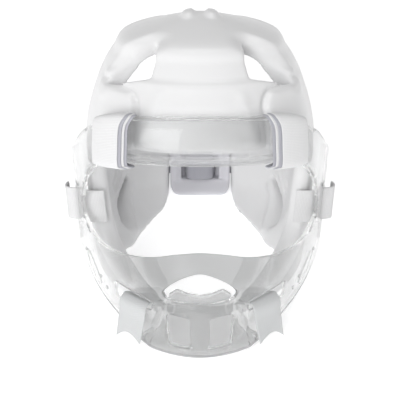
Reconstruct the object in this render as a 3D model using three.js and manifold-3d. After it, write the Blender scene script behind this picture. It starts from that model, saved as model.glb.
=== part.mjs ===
// Karate headgear: a dipped-foam helmet with a clear face shield held on by straps.
// Millimetres. The pieces are laid out in the wearer's frame: x across the head, the face towards -y, z up
// through the crown, and the origin between the ears. The whole is then leaned back to stand on its base.
import * as THREE from "three";
import { mergeVertices } from "three/addons/utils/BufferGeometryUtils.js";
import { ParametricGeometry } from "three/addons/geometries/ParametricGeometry.js";
import Module from "manifold-3d";

const wasm = await Module();
wasm.setup();

const DEG = Math.PI / 180;
const CLEARANCE = 0.4;

// How it stands: the head's axis leans back, and the ears are this high above the table.
const LEAN = 20 * DEG;
const EAR_HEIGHT = 75;

// The shell's sections below its widest level, and the dome that narrows above it.
const WIDEST = 20;
const SHELL_FOOT = -140;
const OUTER = {
  crown: 147,
  rows: [
    { z: -140, side: 84, front: 82, back: 72, square: 1.6 },
    { z: -95, side: 92, front: 93, back: 86, square: 1.7 },
    { z: -45, side: 99, front: 104, back: 104, square: 2.0 },
    { z: WIDEST, side: 103, front: 108, back: 116, square: 2.2 },
  ],
};
const INNER = {
  crown: 130,
  rows: [
    { z: -140, side: 65, front: 65, back: 52, square: 1.5 },
    { z: -80, side: 74, front: 79, back: 72, square: 1.6 },
    { z: -45, side: 80, front: 87, back: 87, square: 2.0 },
    { z: WIDEST, side: 87, front: 93, back: 99, square: 2.2 },
  ],
};
const DOME = [
  { height: 0, narrow: 1 },
  { height: 0.2, narrow: 0.985 },
  { height: 0.34, narrow: 0.958 },
  { height: 0.47, narrow: 0.913 },
  { height: 0.61, narrow: 0.846 },
  { height: 0.75, narrow: 0.745 },
  { height: 0.865, narrow: 0.625 },
  { height: 0.925, narrow: 0.39 },
  { height: 0.973, narrow: 0.16 },
  { height: 1, narrow: 0 },
];
const EAR = { angle: 113, halfAngle: 22, z: -30, halfHeight: 32, rise: 7 };
const EAR_BULGE = { ...EAR, rise: 2.5 };
const NECK_PAD = { angle: 128, halfAngle: 42, z: -98, halfHeight: 64, rise: -12 };
const BROW_PAD = { angle: 53, halfAngle: 22, z: 76, halfHeight: 24, rise: 2.5 };

// Openings in the shell: the edges below and above at each angle from the front.
const FRONT_VENT = [
  { angle: 28, low: 105, high: 114 },
  { angle: 28.6, low: 104.5, high: 122 },
  { angle: 31, low: 103.5, high: 128 },
  { angle: 36, low: 101.5, high: 132 },
  { angle: 42, low: 99.5, high: 132 },
  { angle: 49, low: 96.5, high: 125.5 },
  { angle: 54, low: 94.5, high: 117 },
  { angle: 58, low: 93, high: 106 },
  { angle: 59.5, low: 94.5, high: 100 },
];
const REAR_VENT = [
  { angle: 104, low: 80, high: 98 },
  { angle: 108, low: 64, high: 114 },
  { angle: 116, low: 54, high: 126 },
  { angle: 134, low: 50, high: 130 },
  { angle: 150, low: 54, high: 126 },
  { angle: 156, low: 64, high: 114 },
  { angle: 158.5, low: 76, high: 98 },
];
const FACE_OPENING = [
  { angle: 0, low: -96, high: 46 },
  { angle: 36, low: -92, high: 46 },
  { angle: 48, low: -78, high: 45 },
  { angle: 58, low: -54, high: 41 },
  { angle: 64, low: -36, high: 33 },
  { angle: 66, low: -24, high: 22 },
];
const CHIN_GAP = { halfWidth: 31, height: 100, top: -70, corner: 1, back: -20 };
const NAPE_GAP = { halfWidth: 30, height: 140, top: 22, corner: 8, front: 30 };

// The pad in the nape gap, with its two strap slots.
const PAD = { halfWidth: 29, top: 20, foot: -52, corner: 9 };
const SLOT = { x: 13, width: 10, height: 23, z: -25, corner: 1.5 };

// The shield's sections, its upper and lower edges, and its openings, by angle from the front.
const SHIELD_BACK = 8;
const SHIELD_WALL = 3;
const SHIELD_ROWS = [
  { z: -140, side: 98, front: 126, square: 1.9 },
  { z: -105, side: 106, front: 135, square: 1.95 },
  { z: -78, side: 109, front: 137, square: 2.0 },
  { z: -55, side: 111, front: 133, square: 2.1 },
  { z: -30, side: 112, front: 129, square: 2.2 },
  { z: 42, side: 115.5, front: 124, square: 2.5 },
  { z: 90, side: 113, front: 120, square: 2.5 },
];
const SHIELD_EDGES = [
  { angle: 0, low: -135, high: 82 },
  { angle: 21, low: -132, high: 80.5 },
  { angle: 31, low: -116, high: 78.5 },
  { angle: 40, low: -99, high: 75 },
  { angle: 50, low: -87, high: 67 },
  { angle: 58, low: -77, high: 56.5 },
  { angle: 67, low: -63, high: 43 },
  { angle: 78, low: -49, high: 31.5 },
  { angle: 90, low: -42, high: 25 },
];
const EYE_OPENING = [
  { angle: 0, low: -31, high: 39.5 },
  { angle: 10, low: -33.4, high: 39.5 },
  { angle: 20, low: -37.9, high: 39.5 },
  { angle: 34, low: -39.7, high: 39 },
  { angle: 44, low: -38, high: 36.5 },
  { angle: 50, low: -35, high: 27.5 },
  { angle: 55, low: -30.5, high: 15 },
  { angle: 59.5, low: -24, high: 2.5 },
  { angle: 62.5, low: -17.5, high: -7 },
  { angle: 63.5, low: -14.5, high: -10.5 },
];
const MOUTH = [
  { angle: 0, low: -73.5, high: -47.5 },
  { angle: 6, low: -73, high: -51.5 },
  { angle: 11, low: -72, high: -56.5 },
  { angle: 13.6, low: -70.5, high: -60 },
  { angle: 15.7, low: -67, high: -63.5 },
];
const CHIN_WINDOW = [
  { angle: 4.2, low: -113.5, high: -86 },
  { angle: 5.4, low: -115, high: -84.6 },
  { angle: 13.6, low: -112.5, high: -82 },
  { angle: 14.8, low: -111, high: -83.2 },
];
const STRAP_WINDOW = [
  { angle: 22, low: -83.5, high: -75 },
  { angle: 41, low: -80, high: -65.5 },
];
const SIDE_SLOT = [
  { angle: 51.5, low: -77.5, high: -72 },
  { angle: 54, low: -74, high: -65 },
  { angle: 58, low: -65, high: -55 },
  { angle: 61, low: -57.5, high: -51 },
];
const STRAP_SLOT = [
  { angle: 69.5, low: -34, high: 1 },
  { angle: 74.5, low: -34, high: 1 },
];
const BAR_FLANGE = { depth: 7, height: 2.5, halfAngle: 56 };
const CHIN_PLATE = {
  thickness: 3,
  rimAngle: 30,
  rimLevel: -122,
  rearEdge: [
    { x: 0, y: -54 },
    { x: 9, y: -52 },
    { x: 20, y: -46 },
    { x: 27, y: -52 },
    { x: 28.5, y: -80 },
    { x: 34, y: -92 },
    { x: 50, y: -99 },
  ],
};

// The straps.
const WEBBING = 2;
const FOREHEAD_STRAP = { from: 25, to: 46.5, corner: 12, endGap: 0.03 };
const SIDE_STRAP = { z: -16.5, height: 30, standOff: 7, wayOut: 4 };
const SIDE_FOLD = [
  { past: 0, ahead: -5 },
  { past: 0, ahead: 2.5 },
  { past: 1.5, ahead: 6.8 },
  { past: 4.5, ahead: 7.6 },
  { past: 8, ahead: 5 },
];
const CHIN_STRAP = { middle: 29.4, drift: 4, halfAngle: 6.3 };
const CHIN_ROUTE = [
  { ahead: -36, z: -89 },
  { ahead: -20, z: -84 },
  { ahead: -6, z: -79.5 },
  { ahead: 0, z: -78 },
  { ahead: 3.5, z: -81 },
  { ahead: 4.5, z: -92 },
  { ahead: 6, z: -104 },
  { ahead: 8, z: -114 },
];
const REAR_STRAP = { z: SLOT.z, height: 18, endAngle: 128, standOff: 3, slant: 2.5, padGap: 3.5 };

// A length that reaches past the whole headgear.
const BEYOND = 200;

// Colours and finishes.
const FOAM = { color: 0xf1f1f2, roughness: 0.35, metalness: 0 };
const PAD_FOAM = { color: 0xd2d0d8, roughness: 0.6, metalness: 0 };
const CLEAR = { color: 0xe4e8ea, roughness: 0.08, metalness: 0, transparent: true, opacity: 0.35 };
const STRAP = { color: 0xf3f3f3, roughness: 0.8, metalness: 0 };

// A table's columns as smooth functions of its first column.
function smoothTable(rows, key) {
  const columns = Object.keys(rows[0]).filter((name) => name !== key);
  const places = rows.map((row) => row[key]);
  const values = rows.flatMap((row) => columns.map((name) => row[name]));
  const curve = new THREE.CubicInterpolant(places, values, columns.length);
  return (place) => {
    const inside = THREE.MathUtils.clamp(place, places[0], places.at(-1));
    const found = curve.evaluate(inside);
    return Object.fromEntries(columns.map((name, i) => [name, found[i]]));
  };
}

// A table's columns joined by straight lines.
function straightTable(rows, key) {
  return (place) => {
    const next = rows.findIndex((row, i) => i > 0 && (row[key] >= place || i === rows.length - 1));
    const [a, b] = [rows[next - 1], rows[next]];
    const share = THREE.MathUtils.clamp((place - a[key]) / (b[key] - a[key]), 0, 1);
    const between = (name) => THREE.MathUtils.lerp(a[name], b[name], share);
    return Object.fromEntries(Object.keys(a).map((name) => [name, between(name)]));
  };
}

// A number raised to a power with its sign kept.
const signedPower = (value, power) => Math.sign(value) * Math.abs(value) ** power;

// How far a surface rises in a patch, falling smoothly to nought at its edges.
function patch(angle, z, { angle: middle, halfAngle, z: level, halfHeight, rise }) {
  const across = THREE.MathUtils.smoothstep(Math.abs(Math.abs(angle) - middle) / halfAngle, 0.5, 1);
  const along = THREE.MathUtils.smoothstep(Math.abs(z - level) / halfHeight, 0.5, 1);
  return rise * (1 - across) * (1 - along);
}

// A closed solid from a geometry whose shared corners are welded.
function solidFrom(geometry) {
  const bare = new THREE.BufferGeometry().setAttribute("position", geometry.getAttribute("position"));
  bare.setIndex(geometry.index);
  const welded = mergeVertices(bare, 1e-3);
  const index = welded.index.array;
  const triVerts = [];
  for (let i = 0; i < index.length; i += 3) {
    const corners = index.slice(i, i + 3);
    if (new Set(corners).size === 3) triVerts.push(...corners);
  }
  const vertProperties = new Float32Array(welded.attributes.position.array);
  const mesh = new wasm.Mesh({ numProp: 3, vertProperties, triVerts: new Uint32Array(triVerts) });
  const solid = new wasm.Manifold(mesh);
  if (solid.volume() > 0) return solid;
  mesh.triVerts.reverse();
  return new wasm.Manifold(mesh);
}

// A named mesh of a solid.
function meshOf(name, solid, look) {
  const { vertProperties, triVerts } = solid.getMesh();
  const geometry = new THREE.BufferGeometry();
  geometry.setAttribute("position", new THREE.BufferAttribute(vertProperties, 3));
  geometry.setIndex(new THREE.BufferAttribute(triVerts, 1));
  geometry.computeVertexNormals();
  const mesh = new THREE.Mesh(geometry, new THREE.MeshStandardMaterial(look));
  mesh.name = name;
  return mesh;
}

// The closed solid between two surfaces of the same two shares, each given as a function to a point.
function slab(near, far, acrossSteps, alongSteps) {
  const row = alongSteps + 1;
  const sheet = (acrossSteps + 1) * row;
  const position = [];
  for (const face of [near, far])
    for (let i = 0; i <= acrossSteps; i++)
      for (let j = 0; j <= alongSteps; j++) position.push(...face(i / acrossSteps, j / alongSteps));
  const index = [];
  const quad = (a, b, c, d) => index.push(a, b, c, a, c, d);
  for (let i = 0; i < acrossSteps; i++)
    for (let j = 0; j < alongSteps; j++) {
      const a = i * row + j;
      quad(a, a + row, a + row + 1, a + 1);
      quad(sheet + a, sheet + a + 1, sheet + a + row + 1, sheet + a + row);
    }
  for (let i = 0; i < acrossSteps; i++)
    for (const [a, step] of [[i * row, row], [(i + 1) * row + alongSteps, -row]])
      quad(a, a + sheet, a + sheet + step, a + step);
  for (let j = 0; j < alongSteps; j++)
    for (const [a, step] of [[j + 1, -1], [acrossSteps * row + j, 1]])
      quad(a, a + sheet, a + sheet + step, a + step);
  const geometry = new THREE.BufferGeometry();
  geometry.setAttribute("position", new THREE.Float32BufferAttribute(position, 3));
  geometry.setIndex(index);
  return solidFrom(geometry);
}

// A point of a round wall at an angle from the front, at the given half-width, front and back.
function roundPoint(angle, z, { side, front, back, square }, backLine = 0) {
  const x = side * signedPower(Math.sin(angle * DEG), 2 / square);
  const ahead = signedPower(Math.cos(angle * DEG), 2 / square);
  return [x, backLine - ahead * (ahead > 0 ? front + backLine : back), z];
}

// The size of the shell's wall at a height: a table below the widest level, the dome above it.
const dome = smoothTable(DOME, "height");
function wallSection({ crown, rows }) {
  const below = smoothTable(rows, "z");
  const { side, front, back, square } = rows.at(-1);
  return (z) => {
    if (z <= WIDEST) return below(z);
    const { narrow } = dome((z - WIDEST) / (crown - WIDEST));
    return { side: side * narrow, front: front * narrow, back: back * narrow, square };
  };
}
const outerSection = wallSection(OUTER);
const innerSection = wallSection(INNER);

// A surface point moved outwards along its level by some millimetres.
function pushedOut([x, y, z], distance) {
  const reach = Math.hypot(x, y);
  const scale = reach > 1 ? 1 + distance / reach : 1;
  return [x * scale, y * scale, z];
}

// The shell's outer and inner surfaces.
function shellOuter(angle, z) {
  const swell = patch(angle, z, BROW_PAD) + patch(angle, z, EAR_BULGE);
  return pushedOut(roundPoint(angle, z, outerSection(z)), swell);
}
function shellInner(angle, z) {
  const recess = patch(angle, z, EAR) + patch(angle, z, NECK_PAD);
  return pushedOut(roundPoint(angle, z, innerSection(z)), recess);
}

// Heights down a wall from its crown, close together where the dome is flat.
function wallHeight(share, { crown }) {
  const domeShare = 0.5;
  const closeness = 0.6;
  if (share > domeShare) return THREE.MathUtils.mapLinear(share, domeShare, 1, WIDEST, SHELL_FOOT);
  return WIDEST + (crown - WIDEST) * Math.cos((share / domeShare) * 90 * DEG) ** closeness;
}

// The uncut shell: down the outside from the crown, across the foot and up the inside to the inner crown.
function shellBlank() {
  const around = 40;
  const downAndUp = 27;
  const geometry = new ParametricGeometry((u, v, target) => {
    const angle = 360 * u - 180;
    const outside = v < 0.5;
    const share = Math.min((outside ? v : 1 - v) / (0.5 - 0.5 / downAndUp), 1);
    const z = wallHeight(share, outside ? OUTER : INNER);
    target.set(...(outside ? shellOuter(angle, z) : shellInner(angle, z)));
  }, around, downAndUp);
  return solidFrom(geometry);
}

// A cutter through a round wall: the table's outline carried from inside the wall to outside it.
// With a centre height the outline spreads from that point of the axis, else it spreads level.
function bandCutter(surface, rows, { inside, outside, centre = null, mirrored = false }) {
  const others = rows.slice(1).reverse().map((row) => ({ ...row, angle: -row.angle }));
  const sections = mirrored ? [...others, ...rows] : rows;
  const last = sections.length - 1;
  const spread = (scale) => (u, v) => {
    const { angle, low, high } = sections[Math.round(u * last)];
    const [x, y, z] = surface(angle, THREE.MathUtils.lerp(low, high, v));
    return [x * scale, y * scale, centre === null ? z : centre + (z - centre) * scale];
  };
  return slab(spread(inside), spread(outside), last, 2);
}

// The same solid on the other side of the head.
const mirror = (solid) => solid.mirror([1, 0, 0]);

// A rounded upright rectangle, carried straight through from one depth to another.
function block(x, z, width, height, corner, fromY, toY) {
  const outline = new THREE.Shape();
  const [left, right, low, high] = [x - width / 2, x + width / 2, z - height / 2, z + height / 2];
  outline.moveTo(left + corner, low);
  outline.lineTo(right - corner, low).absarc(right - corner, low + corner, corner, -90 * DEG, 0);
  outline.lineTo(right, high - corner).absarc(right - corner, high - corner, corner, 0, 90 * DEG);
  outline.lineTo(left + corner, high).absarc(left + corner, high - corner, corner, 90 * DEG, 180 * DEG);
  outline.lineTo(left, low + corner).absarc(left + corner, low + corner, corner, 180 * DEG, 270 * DEG);
  const settings = { depth: toY - fromY, bevelEnabled: false, curveSegments: 4 };
  const geometry = new THREE.ExtrudeGeometry(outline, settings);
  return solidFrom(geometry.rotateX(90 * DEG).translate(0, toY, 0));
}

// A geometry on the table, brought into the wearer's frame.
const fromTable = (geometry) => geometry.translate(0, 0, -EAR_HEIGHT).rotateX(LEAN);

// Everything below the table.
function belowTable() {
  const ground = new THREE.BoxGeometry(3 * BEYOND, 3 * BEYOND, BEYOND);
  return solidFrom(fromTable(ground.translate(0, 0, -BEYOND / 2)));
}

// The distance along the table of a point at the given depth in the wearer's frame.
const tableY = (y) => y / Math.cos(LEAN) - EAR_HEIGHT * Math.tan(LEAN);

const blank = shellBlank();
const under = belowTable();

function foamShell() {
  const vents = { inside: 0.72, outside: 1.15, centre: WIDEST };
  let shell = blank;
  for (const rows of [FRONT_VENT, REAR_VENT]) {
    const cutter = bandCutter(shellOuter, rows, vents);
    shell = shell.subtract(cutter).subtract(mirror(cutter));
  }
  const face = bandCutter(shellOuter, FACE_OPENING, { inside: 0.55, outside: 1.2, mirrored: true });
  const gap = ({ halfWidth, height, top, corner }, from, to) =>
    block(0, top - height / 2, 2 * halfWidth, height, corner, from, to);
  const chin = gap(CHIN_GAP, -BEYOND, CHIN_GAP.back);
  const nape = gap(NAPE_GAP, NAPE_GAP.front, BEYOND);
  return shell.subtract(face).subtract(chin).subtract(nape).subtract(under);
}

function rearPad() {
  const { halfWidth, top, foot, corner } = PAD;
  const outline = block(0, (top + foot) / 2, 2 * halfWidth, top - foot, corner, NAPE_GAP.front, BEYOND);
  let pad = blank.intersect(outline).subtract(under);
  for (const x of [-SLOT.x, SLOT.x])
    pad = pad.subtract(block(x, SLOT.z, SLOT.width, SLOT.height, SLOT.corner, NAPE_GAP.front, BEYOND));
  return pad;
}

// A point on the shield, some millimetres in front of its outer surface.
const shieldSection = smoothTable(SHIELD_ROWS, "z");
function shieldPoint(angle, z, ahead = 0) {
  const { side, front, square } = shieldSection(z);
  const size = { side: side + ahead, front: front + ahead, back: 0, square };
  return roundPoint(angle, z, size, SHIELD_BACK);
}

function faceShield() {
  const edges = smoothTable(SHIELD_EDGES, "angle");
  const wall = (ahead) => (u, v) => {
    const angle = THREE.MathUtils.lerp(-90, 90, u);
    const { low, high } = edges(Math.abs(angle));
    return shieldPoint(angle, THREE.MathUtils.lerp(low, high, v), ahead);
  };
  let shield = slab(wall(-SHIELD_WALL), wall(0), 30, 7);

  // The forehead bar's two flanges.
  const flange = (foot) => (ahead) => (u, v) => {
    const angle = THREE.MathUtils.lerp(-BAR_FLANGE.halfAngle, BAR_FLANGE.halfAngle, u);
    return shieldPoint(angle, foot(Math.abs(angle)) + BAR_FLANGE.height * v, ahead);
  };
  const upper = flange((angle) => edges(angle).high - BAR_FLANGE.height);
  const openings = straightTable(EYE_OPENING, "angle");
  const lower = flange((angle) => openings(angle).high + CLEARANCE);
  for (const edge of [upper, lower])
    shield = shield.add(slab(edge(-BAR_FLANGE.depth), edge(-SHIELD_WALL / 2), 18, 1));

  // The plate under the chin.
  const plate = new THREE.Shape();
  const { rearEdge: rear, rimAngle, rimLevel } = CHIN_PLATE;
  const rimStep = rimAngle / 5;
  const right = rear.map(({ x, y }) => new THREE.Vector2(x, tableY(y)));
  const left = rear.slice(1).reverse().map(({ x, y }) => new THREE.Vector2(-x, tableY(y)));
  const rim = [];
  for (let angle = rimAngle; angle >= -rimAngle; angle -= rimStep) {
    const [x, y] = shieldPoint(angle, rimLevel, -SHIELD_WALL / 2);
    rim.push(new THREE.Vector2(x, tableY(y)));
  }
  plate.setFromPoints([...right, ...rim, ...left]);
  const sheet = new THREE.ExtrudeGeometry(plate, { depth: CHIN_PLATE.thickness, bevelEnabled: false });
  shield = shield.add(solidFrom(fromTable(sheet)));

  const through = { inside: 0.9, outside: 1.1 };
  for (const rows of [EYE_OPENING, MOUTH])
    shield = shield.subtract(bandCutter(shieldPoint, rows, { ...through, mirrored: true }));
  for (const rows of [CHIN_WINDOW, STRAP_WINDOW, SIDE_SLOT, STRAP_SLOT]) {
    const cutter = bandCutter(shieldPoint, rows, through);
    shield = shield.subtract(cutter).subtract(mirror(cutter));
  }
  return shield.subtract(under);
}

// A strap round the forehead bar: a rounded loop in depth and height, its ends meeting behind the bar.
function foreheadStrap() {
  const edges = smoothTable(SHIELD_EDGES, "angle");
  const openings = straightTable(EYE_OPENING, "angle");
  const gap = FOREHEAD_STRAP.endGap;
  const loop = (grow) => (u, v) => {
    const angle = THREE.MathUtils.lerp(FOREHEAD_STRAP.from, FOREHEAD_STRAP.to, u);
    const turn = 360 * DEG * THREE.MathUtils.lerp(gap, 1 - gap, v) + 180 * DEG;
    const [top, foot] = [edges(angle).high, openings(angle).high];
    const halfDepth = BAR_FLANGE.depth / 2 + CLEARANCE + grow;
    const halfHeight = (top - foot) / 2 + CLEARANCE + grow;
    const ahead = halfDepth * signedPower(Math.cos(turn), 2 / FOREHEAD_STRAP.corner) - BAR_FLANGE.depth / 2;
    const z = (top + foot) / 2 + halfHeight * signedPower(Math.sin(turn), 2 / FOREHEAD_STRAP.corner);
    return shieldPoint(angle, z, ahead);
  };
  return slab(loop(CLEARANCE), loop(CLEARANCE + WEBBING), 4, 28);
}

// A strap standing on edge: a path in plan at its lower edge, another at its upper edge, straight between.
function edgewiseStrap(pointsAt, z, height, steps) {
  const levels = [z - height / 2, z + height / 2];
  const paths = levels.map((level) => {
    const points = pointsAt(level).map(([x, y]) => new THREE.Vector3(x, y, level));
    return new THREE.CatmullRomCurve3(points, false, "centripetal");
  });
  const up = new THREE.Vector3(0, 0, 1);
  const side = (offset) => (u, v) => {
    const path = paths[v];
    return path.getPointAt(u).addScaledVector(path.getTangentAt(u).cross(up), offset).toArray();
  };
  return slab(side(-WEBBING / 2), side(WEBBING / 2), steps, 1);
}

// A strap from the shell's front edge, out through the shield's side and back along it.
function sideStrap() {
  const edgeAngle = FACE_OPENING.at(-1).angle;
  const slot = (STRAP_SLOT[0].angle + STRAP_SLOT[1].angle) / 2;
  const { standOff, wayOut } = SIDE_STRAP;
  const pointsAt = (z) => {
    const [inX, inY] = shellInner(edgeAngle, z);
    const [outX, outY] = shellOuter(edgeAngle, z);
    return [
      [inX, inY - standOff],
      [(inX + outX) / 2, (inY + outY) / 2 - standOff],
      [outX + wayOut, outY - standOff / 2],
      ...SIDE_FOLD.map(({ past, ahead }) => shieldPoint(slot + past, z, ahead)),
    ];
  };
  return edgewiseStrap(pointsAt, SIDE_STRAP.z, SIDE_STRAP.height, 22);
}

// A woven strap from the jaw arm, out through the strap window and down over the bar below it.
function chinStrap() {
  const route = CHIN_ROUTE.map(({ ahead, z }) => new THREE.Vector3(ahead, 0, z));
  const path = new THREE.CatmullRomCurve3(route);
  const level = new THREE.Vector3(0, 1, 0);
  const side = (offset) => (u, v) => {
    const place = path.getPointAt(u);
    place.addScaledVector(path.getTangentAt(u).cross(level), offset);
    const drift = CHIN_STRAP.drift * Math.max(2 * u - 1, 0);
    const angle = CHIN_STRAP.middle + drift + CHIN_STRAP.halfAngle * (2 * v - 1);
    return shieldPoint(angle, place.z, place.x);
  };
  return slab(side(-WEBBING / 2), side(WEBBING / 2), 18, 2);
}

// The strap behind the head: over the wings, in through the pad's slots and across its inner face.
function rearStrap() {
  const { z: middle, height, endAngle, standOff, slant, padGap } = REAR_STRAP;
  const turnIn = 7;
  const wingStep = 12;
  const pointsAt = (z) => {
    const over = (angle) => pushedOut(shellOuter(angle, z), standOff);
    const [, inner] = shellInner(180, z);
    const [, outer] = shellOuter(180, z);
    const half = [
      over(endAngle),
      over(endAngle + wingStep),
      over(endAngle + 2 * wingStep),
      [NAPE_GAP.halfWidth, outer + 1],
      [SLOT.x + slant, outer],
      [SLOT.x, (inner + outer) / 2],
      [SLOT.x - slant, inner - 1],
      [SLOT.x - turnIn, inner - padGap],
      [SLOT.x - turnIn - slant, inner - padGap],
    ];
    const other = half.slice().reverse().map(([x, y]) => [-x, y]);
    return [...half, ...other];
  };
  return edgewiseStrap(pointsAt, middle, height, 52);
}

const headgear = new THREE.Group();
headgear.add(meshOf("foam_shell", foamShell(), FOAM));
headgear.add(meshOf("rear_pad", rearPad(), PAD_FOAM));
headgear.add(meshOf("rear_strap", rearStrap(), STRAP));
headgear.add(meshOf("face_shield", faceShield(), CLEAR));
const straps = { forehead_strap: foreheadStrap(), side_strap: sideStrap(), chin_strap: chinStrap() };
for (const [name, strap] of Object.entries(straps)) {
  headgear.add(meshOf(`${name}_right`, strap, STRAP));
  headgear.add(meshOf(`${name}_left`, mirror(strap), STRAP));
}
headgear.rotation.x = -LEAN;
headgear.position.z = EAR_HEIGHT;

// The origin is on the table, under the middle of the whole.
const part = new THREE.Group();
part.add(headgear);
part.updateMatrixWorld(true);
const middle = new THREE.Box3().setFromObject(part, true).getCenter(new THREE.Vector3());
headgear.position.y = -middle.y;

export default part;
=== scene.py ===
import bpy
import numpy as np
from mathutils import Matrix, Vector
from mathutils.geometry import delaunay_2d_cdt


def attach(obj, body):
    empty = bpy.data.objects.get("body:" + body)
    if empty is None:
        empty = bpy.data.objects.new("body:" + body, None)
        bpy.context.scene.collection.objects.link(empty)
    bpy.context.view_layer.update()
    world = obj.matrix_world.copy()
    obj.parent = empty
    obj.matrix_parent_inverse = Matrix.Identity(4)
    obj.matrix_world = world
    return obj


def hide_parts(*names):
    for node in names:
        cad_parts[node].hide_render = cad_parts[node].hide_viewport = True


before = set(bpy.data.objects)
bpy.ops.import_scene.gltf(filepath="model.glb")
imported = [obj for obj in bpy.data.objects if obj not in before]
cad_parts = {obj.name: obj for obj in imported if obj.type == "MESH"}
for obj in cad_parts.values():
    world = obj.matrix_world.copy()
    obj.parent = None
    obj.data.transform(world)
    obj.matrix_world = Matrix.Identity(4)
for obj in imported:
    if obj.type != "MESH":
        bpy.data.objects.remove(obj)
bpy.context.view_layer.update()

# Karate headgear with a clear face shield. Shapes are worked out in millimetres in the wearer's frame:
# x across the head, the face towards -y, z up through the crown, and the origin between the ears. Angles are
# in degrees from the front, growing towards +x. stand() then leans the shapes back onto the table, in metres.
LEAN = np.radians(20)
EAR_HEIGHT = 75
SET_BACK = 19.303
SIDES = ((1, "right"), (-1, "left"))


def table(columns, *rows):
    """A short table as a dictionary of named columns."""
    return dict(zip(columns.split(), np.array(rows, float).T))


# The shell's sections below its widest level, and the dome that narrows above it.
WIDEST = 20
OUTER = table(
    "z side front back square",
    (-140, 84, 82, 72, 1.6),
    (-95, 92, 93, 86, 1.7),
    (-45, 99, 104, 104, 2.0),
    (WIDEST, 103, 108, 116, 2.2),
)
INNER = table(
    "z side front back square",
    (-140, 65, 65, 52, 1.5),
    (-80, 74, 79, 72, 1.6),
    (-45, 80, 87, 87, 2.0),
    (WIDEST, 87, 93, 99, 2.2),
)
OUTER_CROWN = 147
INNER_CROWN = 130
DOME = table(
    "height narrow",
    (0, 1),
    (0.2, 0.985),
    (0.34, 0.958),
    (0.47, 0.913),
    (0.61, 0.846),
    (0.75, 0.745),
    (0.865, 0.625),
    (0.925, 0.39),
    (0.973, 0.16),
    (1, 0),
)
PAST_CROWN_SLOPE = 6
EAR = dict(angle=116, half_angle=20, z=-32, half_height=34, recess=1.5, bulge=2.5, fade=(108, 120))
EAR_SLOT = dict(
    angle=115, z=-40, half_width=6.5, taper=0.6, taper_along=(-20, 22), tips=(19, 26), depth=12,
    edge=(0.45, 1.1),
)
EAR_LIP = dict(rise=4, beside=4.5, width=3.5)
EAR_RIDGES = dict(rise=1.8, pitch=8, shift=7, beside=(2, 5), reach=(20, 25), foot=(-2, 5), head=(17, 24))
NECK_PAD = dict(angle=128, half_angle=42, z=-98, half_height=64, rise=12)
BROW_PAD = dict(
    angle=58, half_angle=27, low=20, high=97, corner=14, slant=0.12, rise=2.6, edge=(-0.5, 3), groove=3.2,
    groove_width=2.1,
)
FOREHEAD_BAND = dict(rise=3.4, foot=(30, 60), top=(100.5, 104.5), level_angle=14, slant=0.05, ends=(52, 78))
RIB = dict(angle=20, z=90, slant=0.12, width=3.2, rise=1.2, foot=(40, 60), top=(93, 101))
SIDE_BAND = dict(rise=0.9, beside_vent=11, width=4, front_from=44, rear_from=80, fade=12)
KNOB = dict(x=10.5, y=-4, half_width=7.5, half_length=15, rise=3.6, edge=(0.45, 1.1), above=120)
FRONT_VENT = table(
    "angle low high",
    (28, 105, 114),
    (28.6, 104.5, 122),
    (31, 103.5, 128),
    (36, 101.5, 132),
    (42, 99.5, 132),
    (49, 96.5, 125.5),
    (54, 94.5, 117),
    (58, 93, 106),
    (59.5, 94.5, 100),
)
REAR_VENT = table(
    "angle low high",
    (104, 80, 98),
    (108, 64, 114),
    (116, 54, 126),
    (134, 50, 130),
    (150, 54, 126),
    (156, 64, 114),
    (158.5, 76, 98),
)
FACE_OPENING = table(
    "angle low high",
    (0, -96, 46),
    (36, -92, 46),
    (48, -78, 45),
    (58, -54, 41),
    (64, -36, 33),
    (66, -24, 22),
)
FACE_REACH = dict(outside=15, before=10)
CHIN_GAP = dict(half_width=31, top=-70, before=-20)
NAPE_GAP = dict(half_width=30, foot=-160, top=22, corner=8, behind=30)
PAD = dict(
    half_width=29, top=20, foot=-48.5, corner=9, bow=2.5, lip=7, lip_levels=(34, 46), dish=1.5,
    dish_edge=(4, 9),
)
SLOT = dict(x=13, width=10, outer_width=3.2, height=23, corner=1.5, z=-25, flare=(4, 7))

# The shield's sections, edges and openings.
SHIELD_BACK = 8
SHIELD_WALL = 3
SHIELD = table(
    "z side front square",
    (-140, 98, 126, 1.9),
    (-105, 106, 135, 1.95),
    (-78, 109, 137, 2.0),
    (-55, 111, 133, 2.1),
    (-30, 112, 129, 2.2),
    (42, 115.5, 124, 2.5),
    (90, 113, 120, 2.5),
)
SHIELD_EDGES = table(
    "angle low high",
    (0, -135, 82),
    (21, -132, 80.5),
    (31, -116, 78.5),
    (40, -99, 75),
    (50, -87, 67),
    (58, -77, 56.5),
    (67, -63, 43),
    (78, -49, 31.5),
    (90, -42, 25),
)
EYE_OPENING = table(
    "angle low high",
    (0, -31, 39.5),
    (10, -33.4, 39.5),
    (20, -37.9, 39.5),
    (34, -39.7, 39),
    (44, -38, 36.5),
    (50, -35, 27.5),
    (55, -30.5, 15),
    (59.5, -24, 2.5),
    (62.5, -17.5, -7),
    (63.5, -14.5, -10.5),
)
MOUTH = table(
    "angle low high",
    (0, -73.5, -47.5),
    (6, -73, -51.5),
    (11, -72, -56.5),
    (13.6, -70.5, -60),
    (15.7, -67, -63.5),
)
CHIN_WINDOW = table(
    "angle low high",
    (4.2, -113.5, -86),
    (5.4, -115, -84.6),
    (13.6, -112.5, -82),
    (14.8, -111, -83.2),
)
STRAP_WINDOW = table("angle low high", (22, -83.5, -75), (41, -80, -65.5))
SIDE_SLOT = table(
    "angle low high",
    (51.5, -77.5, -72),
    (54, -74, -65),
    (58, -65, -55),
    (61, -57.5, -51),
)
STRAP_SLOT = table("angle low high", (69.5, -34, 1), (74.5, -34, 1))
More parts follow.
